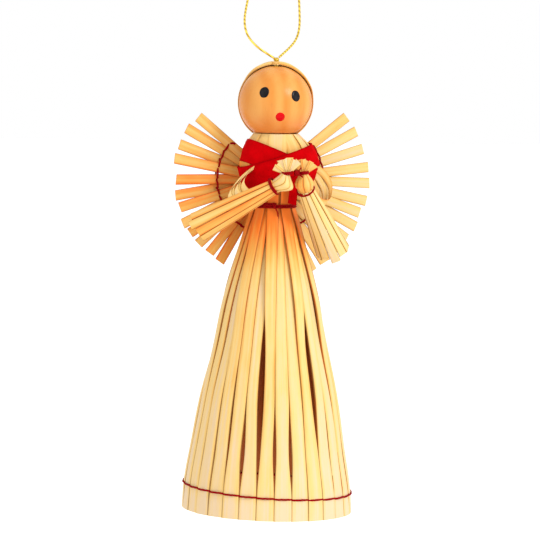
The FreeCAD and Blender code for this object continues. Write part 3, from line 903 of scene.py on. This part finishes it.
def make_hair(material):
    """Straws that leave the crown side by side, and lie over the head towards the nape."""
    surface = Surface()
    pitch = HAIR_SPREAD / HAIR_STRAWS
    for index in range(HAIR_STRAWS):
        middle = -HAIR_SPREAD / 2 + (index + 0.5) * pitch
        closing_from = HAIR_CLOSING_LEFT if middle > 0 else HAIR_CLOSING_RIGHT
        stations = []
        for step in range(HAIR_STATIONS + 1):
            polar = HAIR_TOP + (HAIR_END - HAIR_TOP) * step / HAIR_STATIONS
            closing = HAIR_CLOSING * smoothstep(closing_from, closing_from + HAIR_CLOSING_SPAN, polar)
            bearing = middle * (1 - closing) + HAIR_TURN
            wide = turned(ACROSS, UP, bearing)
            angle = math.radians(polar)
            outward = turned(BACK, UP, bearing) * math.sin(angle) + UP * math.cos(angle)
            swell = 1 - smoothstep(*HAIR_SWELL_DEG, polar)
            reach = HAIR_R + HAIR_LAYER * (index % 2) + HAIR_CROWN_RISE * swell
            arc = 2 * HAIR_R * abs(math.sin(angle)) * math.sin(math.radians(pitch / 2))
            width = max(HAIR_LEAST_WIDTH, arc * HAIR_OVERLAP)
            thick = HAIR_THICK + HAIR_CROWN_THICK * swell
            stations.append((BEAD_CENTRE + outward * reach, wide, outward, width, thick))
        straw(surface, stations, (0.3, 0.4), steps=36, around=14, wobble=0.05, hollow=False)
    surface.edge = [value * SOFT_EDGE_SHADE for value in surface.edge]
    surface.build("hair", material, "hair_straw", "hair_straws")


# ---- torso

def make_collar(material):
    """Flat straws that fan from under the head over the shoulders."""
    surface = Surface()
    for facing, turns in ((-90, COLLAR_FRONT), (90, COLLAR_REAR)):
        for number, turn in enumerate(turns):
            angle = math.radians(facing + (turn if facing < 0 else -turn))
            inset = COLLAR_INSETS[number % 2]
            stations = []
            for height, width in COLLAR_STATIONS:
                offset, half_width, half_depth = torso_size(height)
                across = half_width - inset
                deep = half_depth - inset
                centre = Vector((offset + across * math.cos(angle), deep * math.sin(angle), height))
                tangent = Vector((-across * math.sin(angle), deep * math.cos(angle), 0)).normalized()
                stations.append((centre, tangent, tangent.cross(UP), width, COLLAR_THICK))
            straw(surface, stations, (0.2, 0.9), steps=16, around=14, wobble=0.08, hollow=False)
    surface.edge = [value * SOFT_EDGE_SHADE for value in surface.edge]
    surface.build("collar", material, "sleeve_straw", "collar_straws")


def make_core(material):
    """The bundle of whole straws that the figure is tied on, open at the bottom."""
    surface = Surface()
    deep = CORE_STRAW_D * CORE_ROUNDNESS
    feet = [Vector((0, 0, 0))]
    for index in range(CORE_OUTER):
        feet.append(turned(ACROSS * (CORE_STRAW_D + CORE_STRAW_GAP), UP, (index + 0.5) * 360 / CORE_OUTER))
    for foot in feet:
        spin = turned(ACROSS, UP, draw.uniform(0, 360))
        stations = []
        for height in (CORE_TOP_Z, CORE_MIDDLE_Z, CORE_BOTTOM_Z + draw.uniform(0, CORE_TRIM)):
            stations.append((foot + UP * height, spin, spin.cross(UP), CORE_STRAW_D, deep))
        straw(surface, stations, (0.8, 0.7), steps=8, around=18, wobble=0.0)
    surface.build("core", material, "inner_straw", "core_straws")


def ribbon_place(ribbon, bearing, across, gap):
    """A point on a ribbon wound round the torso in a sloping plane."""
    side, degrees, cross_z, _ = ribbon
    height = cross_z + across
    rise = math.tan(math.radians(degrees))
    for _ in range(4):
        offset, half_width, half_depth = torso_size(height)
        x = offset + (half_width + gap) * math.cos(bearing)
        height = cross_z + across - side * rise * (x - RIBBON_CROSS_X)
    y = (half_depth + gap) * math.sin(bearing)
    return Vector((x, y, height))


def make_ribbon(name, node, material, ribbon):
    """A band of ribbon with soft folds and a corded edge, closed into a thin solid."""
    surface = Surface()
    side, degrees, _, gap = ribbon
    half = RIBBON_WIDTH / 2 / math.cos(math.radians(degrees))
    least, extra = RIBBON_FOLDS
    pace, across, apart = RIBBON_FOLD_PACE
    rings = []
    for bearing in turn_angles(RIBBON_COLUMNS):
        outer = []
        inner = []
        for row in range(RIBBON_ROWS + 1):
            share = row / RIBBON_ROWS * 2 - 1
            spot = Vector((math.cos(bearing) * pace, math.sin(bearing) * pace, share * across + side * apart))
            fold = gap + least + extra * noise.noise(spot)
            cord = RIBBON_CORD * smoothstep(*RIBBON_CORD_EDGE, abs(share))
            grain = (share * half, bearing * RIBBON_GRAIN_R, float(side))
            for layer, reach in ((outer, fold + RIBBON_THICK + cord), (inner, fold - cord / 2)):
                place = ribbon_place(ribbon, bearing, share * half, reach)
                layer.append(surface.point(place, grain, abs(share)))
        rings.append(outer + inner[::-1])
    surface.skin(rings, closed=True)
    surface.build(name, material, "red_ribbon", node)


def make_tail(material):
    """The loose end of a ribbon below the hands."""
    surface = Surface()
    stations = [(Vector(place), ACROSS, -BACK, TAIL_WIDTH, TAIL_THICK) for place in TAIL_PATH]
    straw(surface, stations, (0.5, 0.5), steps=16, around=14, cut=0.25, wobble=0.2, hollow=False)
    surface.build("ribbon_end", material, "red_ribbon", "ribbon_tail")


# ---- skirt

def hem_drop(place, height):
    """How far the hand-cut hem hangs lower towards one side."""
    skew = THREAD_SKEW * smoothstep(-SKEW_START_Z, -SKEW_END_Z, -height)
    skew += (HEM_SKEW - THREAD_SKEW) * smoothstep(-HEM_THREAD_Z, -SKIRT_RINGS[-1][0], -height)
    return skew * place.dot(VIEW_RIGHT)


def slit(boundary, height):
    """The width of the slit between a skirt straw and the next one, at a height."""
    width, middle, half_length = SLITS.get(boundary % SKIRT_STRAWS, (0.0, 0.0, 1.0))
    return width * max(0.0, 1 - ((height - middle) / half_length) ** 2)


def skirt_stations(index):
    """The path of one skirt straw, from under the bodice to the cut hem."""
    turn = 360 * index / SKIRT_STRAWS
    radial = turned(ACROSS, UP, turn)
    tangent = turned(BACK, UP, turn)
    layer = index % SKIRT_LAYERS
    stations = []
    for height, radius, width, thickness, step_left in SKIRT_RINGS:
        before = slit(index - 1, height)
        after = slit(index, height)
        if height >= WAIST_Z:
            width = INNER_WIDTHS[layer]
        place = radial * (radius - layer * LAYER_STEP * step_left) + tangent * ((before - after) / 4)
        centre = place + UP * (height - hem_drop(place, height))
        stations.append((centre, tangent, radial, width - (before + after) / 2, thickness))
    return stations


def middle_radius(index, height):
    """How far the middle of a skirt straw is from the axis at a height."""
    knots = [-ring[0] for ring in SKIRT_RINGS]
    column = [ring[1] - (index % SKIRT_LAYERS) * LAYER_STEP * ring[4] for ring in SKIRT_RINGS]
    return smooth(column, knots, min(knots[-1], max(knots[0], -height)))


def skirt_straw_surface(index):
    """One skirt straw, with painted shade that makes it amber under the bodice, and pale at the hem."""
    surface = Surface()
    radial = turned(ACROSS, UP, 360 * index / SKIRT_STRAWS)
    straw(surface, skirt_stations(index), (0.0, 0.0), steps=46, around=22, wobble=0.28)
    for k, point in enumerate(surface.points):
        place = point / MM
        # Painted shade: the skirt is warmer towards its top, under the bodice and sleeves
        shade_changes = [change * smoothstep(start, full, -place.z) for change, start, full in SKIRT_SHADE_FADES]
        surface.warm[k] += SKIRT_SHADED_TOP_WARMTH + sum(shade_changes)
        # The side facing inwards is marked for the dark red painted shade
        if place.dot(radial) < middle_radius(index, place.z):
            surface.edge[k] = INSIDE_SHADE
    return surface


def make_skirt(material):
    for index in range(SKIRT_STRAWS):
        number = "%02d" % (index + 1)
        surface = skirt_straw_surface(index)
        surface.build("skirt_" + number, material, "skirt_straw", "skirt_straw_" + number)


def strand(place, crossings, side):
    """One of two twined threads, which swap sides between each straw and the next."""
    points = []
    for step in range(crossings * TWINE_STEPS + 1):
        phase = step / TWINE_STEPS
        depth = side * powered(math.cos(math.pi * phase), TWINE_POWER)
        points.append(place(phase, depth, side * math.sin(math.pi * phase) * TWINE_LIFT))
    return points


def make_hem_thread(material):
    """Two threads twined through the straws a little above the hem."""
    def place(phase, depth, lift):
        radial = turned(ACROSS, UP, phase * 360 / SKIRT_STRAWS)
        spot = radial * (HEM_THREAD_R + depth * TWINE_DEPTH + TWINE_BULGE * (1 - abs(depth)))
        return spot + UP * (HEM_THREAD_Z + lift - hem_drop(spot, HEM_THREAD_Z))

    surface = Surface()
    for side in (-1, 1):
        tube(surface, strand(place, SKIRT_STRAWS, side)[:-1], TWINE_R, closed=True)
    surface.build("hem_twining", material, "red_thread", "hem_thread")


def make_waist_thread(material):
    """Thread wound round the top of the skirt, with its knot in front."""
    surface = Surface()
    waist = UP * WAIST_Z
    tube(surface, wound(waist, UP, WAIST_THREAD_R, pitch=0.52, turns=2.6, steps=60), THREAD_R)
    knot = turned(-BACK, UP, WAIST_KNOT_DEG) * (WAIST_THREAD_R + WAIST_KNOT_RISE) + waist
    tube(surface, wound(knot, ACROSS, 0.42, pitch=0.3, turns=2.2, steps=16), THREAD_R)
    end = [knot + Vector(drop) for drop in WAIST_THREAD_END]
    tube(surface, curve_points(end, 16), THREAD_R * 0.8)
    surface.build("waist_binding", material, "red_thread", "waist_thread")


# ---- arms, sleeves and hands

def make_arm(label, material, route, warm):
    """A bundle of flat straws from the shoulder round the elbow to the wrist."""
    surface = Surface()
    wide = ARM_FACING.normalized()
    last = len(route) - 1
    for index in range(ARM_STRAWS):
        offset = index - (ARM_STRAWS - 1) / 2
        depth = BACK * (ARM_LAYER if index % 2 else -ARM_LAYER)
        stations = []
        for k, point in enumerate(curve_points(route, last + 1)):
            spread = ARM_FAN * (offset * (ARM_CLOSE + math.sin(math.pi * k / last)))
            stations.append((point + spread + depth, wide, -BACK, *ARM_STRAW))
        straw(surface, stations, warm, steps=24, around=12, wobble=0.1, hollow=False)
    surface.build("arm_bundle_" + label, material, "sleeve_straw", "arm_" + label)


def make_sleeve(label, material, points, warm):
    """Straws tied at the wrist that open into a bell, each cut a little differently."""
    wrist, end, slot = (Vector(point) for point in points)
    axis = (end - wrist).normalized()
    slot = (slot - axis * slot.dot(axis)).normalized()
    pitch = (360 - 2 * SLEEVE_SLOT) / SLEEVE_STRAWS
    surface = Surface()
    for index in range(SLEEVE_STRAWS):
        radial = turned(slot, axis, SLEEVE_SLOT + (index + 0.5) * pitch)
        tangent = axis.cross(radial)
        trim = draw.uniform(*SLEEVE_TRIM)
        stations = []
        for share, radius in SLEEVE_RADII:
            centre = wrist + (end - wrist) * share + radial * radius + axis * (trim * share)
            width = radius * math.radians(pitch) * SLEEVE_FILL
            stations.append((centre, tangent, radial, width, SLEEVE_THICK))
        cut = draw.uniform(-SLEEVE_CUT, SLEEVE_CUT)
        straw(surface, stations, warm, steps=22, around=18, cut=cut, wobble=0.2)
    surface.build("sleeve_fan_" + label, material, "sleeve_straw", "sleeve_" + label)


def make_wrist_thread(label, material, points):
    """Thread wound round the tied end of a sleeve."""
    wrist, end, _ = (Vector(point) for point in points)
    axis = (end - wrist).normalized()
    surface = Surface()
    middle = wrist + axis * WRIST_THREAD_AT
    tube(surface, wound(middle, axis, WRIST_THREAD_R, pitch=0.42, turns=1.6, steps=32), THREAD_R)
    surface.build("wrist_binding_" + label, material, "red_thread", "wrist_thread_" + label)


def make_hand(label, material, points, warm):
    """The arm's straws bulge past the wrist, are pinched, and open into pleated fingers."""
    wrist, palm, pinch, tip = (Vector(point) for point in points)
    surface = Surface()
    axis = (pinch - wrist).normalized()
    side = axis.orthogonal().normalized()
    for index in range(PALM_STRAWS):
        radial = turned(side, axis, 360 * index / PALM_STRAWS)
        tangent = axis.cross(radial)
        stations = []
        for spot, radius in zip((wrist, palm, pinch), HAND_RADII):
            width = 2 * math.pi * radius / PALM_STRAWS * PALM_OVERLAP
            stations.append((spot + radial * radius, tangent, radial, width, PALM_THICK))
        straw(surface, stations, warm, steps=14, around=12, wobble=0.15, hollow=False)
    upward = (tip - pinch).normalized()
    normal = upward.cross(ACROSS).normalized()
    for index in range(FINGER_STRAWS):
        direction = turned(upward, normal, (index - (FINGER_STRAWS - 1) / 2) * FINGER_STEP)
        pleat = FINGER_PLEAT if index % 2 else -FINGER_PLEAT
        wide = turned(direction.cross(normal), direction, pleat)
        thin = turned(normal, direction, pleat)
        reach = (tip - pinch).length * draw.uniform(*FINGER_REACH)
        stations = []
        for share, width in FINGER_WIDTHS:
            centre = pinch - upward * FINGER_SET_BACK + direction * (FINGER_START + reach * share)
            stations.append((centre, wide, thin, width, FINGER_THICK))
        cut = draw.uniform(-FINGER_CUT, FINGER_CUT)
        straw(surface, stations, warm, steps=10, around=12, cut=cut, wobble=0.1, hollow=False)
    surface.build("hand_fan_" + label, material, "sleeve_straw", "hand_" + label)


def make_hands_thread(material):
    """Thread round each hand's pinch, and the knot that holds the hands together."""
    surface = Surface()
    pinches = []
    for points in (LEFT_HAND, RIGHT_HAND):
        palm, pinch, tip = (Vector(point) for point in points[1:])
        axis = (tip - palm).normalized()
        tube(surface, wound(pinch, axis, PINCH_THREAD_R, pitch=0.42, turns=2.2, steps=20), THREAD_R)
        pinches.append(pinch)
    middle = (pinches[0] + pinches[1]) / 2 + HANDS_KNOT_AT
    for axis, radius, turns in HANDS_WINDINGS:
        tube(surface, wound(middle, axis, radius, pitch=0.34, turns=turns, steps=18), HANDS_THREAD_R)
    for drift_to in HANDS_THREAD_ENDS:
        half_way = middle + Vector(drift_to) / 2 + HANDS_END_BEND
        tube(surface, curve_points([middle, half_way, middle + Vector(drift_to)], 10), HANDS_END_R)
    surface.build("hands_binding", material, "red_thread", "hands_thread")


# ---- wings

def wing_place(side, degrees, reach, depth):
    """A point on a wing, by its direction, its distance from the tie and its depth."""
    angle = math.radians(degrees)
    return WING_CENTRE + Vector((side * math.cos(angle) * reach, depth, math.sin(angle) * reach))


def make_wing(label, material, side, angles, tip_radius, warm):
    """A fan of straws in overlapping layers, each cut square by hand."""
    surface = Surface()
    for index, degrees in enumerate(angles):
        angle = math.radians(degrees)
        across = Vector((-side * math.sin(angle), 0, math.cos(angle)))
        depth = (index % WING_LAYERS - 1) * WING_LAYER_STEP
        tip = tip_radius + draw.uniform(*WING_TRIM)
        lean = draw.uniform(-WING_LEAN, WING_LEAN)
        stations = []
        for reach, share in zip((WING_ROOT_R, WING_FULL_R, WING_THREAD_AT_R, tip), WING_SHARES):
            width = WING_WIDTH * min(1.0, reach / WING_FULL_R) * (1 + WING_SPREAD * share)
            centre = wing_place(side, degrees, reach, depth + lean * share)
            stations.append((centre, across, BACK, width, WING_THICK))
        cut = draw.uniform(-WING_CUT, WING_CUT)
        straw(surface, stations, warm, steps=24, around=16, cut=cut, wobble=0.15)
    surface.build("wing_fan_" + label, material, "wing_straw", "wing_" + label)


def make_wing_thread(label, material, side, angles):
    """Two threads twined through the fan, which run a little past its outer straws."""
    last = len(angles) - 1

    def place(phase, depth, lift):
        at = phase - 0.5
        inside = min(max(at, 0.0), last)
        degrees = smooth(angles, range(last + 1), inside) - (at - inside) * WING_END_DEG
        dip = WING_END_DIP * max(0.0, -at) ** 2
        return wing_place(side, degrees, WING_THREAD_AT_R + lift - dip, depth)

    surface = Surface()
    for strand_side in (-1, 1):
        tube(surface, strand(place, len(angles), strand_side), TWINE_R)
    surface.build("wing_twining_" + label, material, "red_thread", "wing_thread_" + label)


def make_wing_tie(material):
    """The thread wound round the roots of both wings, finished in a flat coil at each end."""
    surface = Surface()
    reach = WING_TIE_R - THREAD_R
    tube(surface, wound(WING_CENTRE, BACK, reach, pitch=0.48, turns=4.4, steps=36), TWINE_R)
    last = WING_COIL_TURNS * WING_COIL_STEPS
    for depth in (-WING_COIL_DEPTH, WING_COIL_DEPTH):
        coil = []
        for step in range(last + 1):
            share = step / last
            spoke = turned(ACROSS, BACK, 360 * WING_COIL_TURNS * share)
            coil.append(WING_CENTRE + BACK * depth + spoke * (WING_COIL_R + (reach - WING_COIL_R) * share))
        tube(surface, coil, TWINE_R)
    surface.build("wing_binding", material, "red_thread", "wing_tie")


# ---- everything, in order

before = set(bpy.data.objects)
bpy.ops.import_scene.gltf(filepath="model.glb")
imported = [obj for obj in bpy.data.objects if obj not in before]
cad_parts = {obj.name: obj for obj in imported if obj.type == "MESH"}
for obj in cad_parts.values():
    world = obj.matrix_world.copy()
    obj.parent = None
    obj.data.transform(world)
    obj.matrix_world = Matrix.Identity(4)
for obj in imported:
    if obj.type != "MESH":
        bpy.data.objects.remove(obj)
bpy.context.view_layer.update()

gold = gold_material()
make_camera()
make_hanger(gold)
make_stage()

straws = straw_material()
red_thread = thread_material()
red_ribbon = ribbon_material()

make_crown_knot(gold)
for node in ("head_thread", "neck_knot"):
    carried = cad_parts[node]
    carried.data.materials.clear()
    carried.data.materials.append(gold)

make_bead(wood_material())
eye_paint = paint_material("eye_paint", (0.006, 0.005, 0.006), (0.02, 0.018, 0.02))
make_dot("eye_dot_left", "eye_left", eye_paint, "eye_paint", LEFT_EYE)
make_dot("eye_dot_right", "eye_right", eye_paint, "eye_paint", RIGHT_EYE)
mouth_paint = paint_material("mouth_paint", (0.48, 0.001, 0.004), (0.66, 0.003, 0.006))
make_dot("mouth_dot", "mouth", mouth_paint, "mouth_paint", MOUTH)
make_hair(straws)

make_core(straws)
make_collar(straws)
make_ribbon("chest_ribbon_left", "ribbon_left", red_ribbon, RIBBON_LEFT)
make_ribbon("chest_ribbon_right", "ribbon_right", red_ribbon, RIBBON_RIGHT)
make_tail(red_ribbon)

make_skirt(straws)
make_waist_thread(red_thread)
make_hem_thread(red_thread)

# Each side: name, sign, arm, sleeve, hand, wing angles and tip radius, then where the warmth of its
# sleeve, hand and wing starts and ends; the left sleeve and wing are warmer, as painted shade
SIDES = (
    ("left", -1, LEFT_ARM, LEFT_SLEEVE, LEFT_HAND, LEFT_WING_DEG, LEFT_WING_TIP_R,
     (0.66, 0.56), (0.32, 0.22), (0.72, 0.62)),
    ("right", 1, RIGHT_ARM, RIGHT_SLEEVE, RIGHT_HAND, RIGHT_WING_DEG, RIGHT_WING_TIP_R,
     (0.24, 0.14), (0.62, 0.52), (0.35, 0.25)),
)
for label, side, arm, sleeve, hand, angles, tip_radius, sleeve_warmth_with_shade, hand_warm, wing_warmth_with_shade in SIDES:
    make_arm(label, straws, arm, ARM_WARMTH)
    make_sleeve(label, straws, sleeve, sleeve_warmth_with_shade)
    make_wrist_thread(label, red_thread, sleeve)
    make_hand(label, straws, hand, hand_warm)
    make_wing(label, straws, side, angles, tip_radius, wing_warmth_with_shade)
    make_wing_thread(label, red_thread, side, angles)
make_hands_thread(red_thread)
make_wing_tie(red_thread)
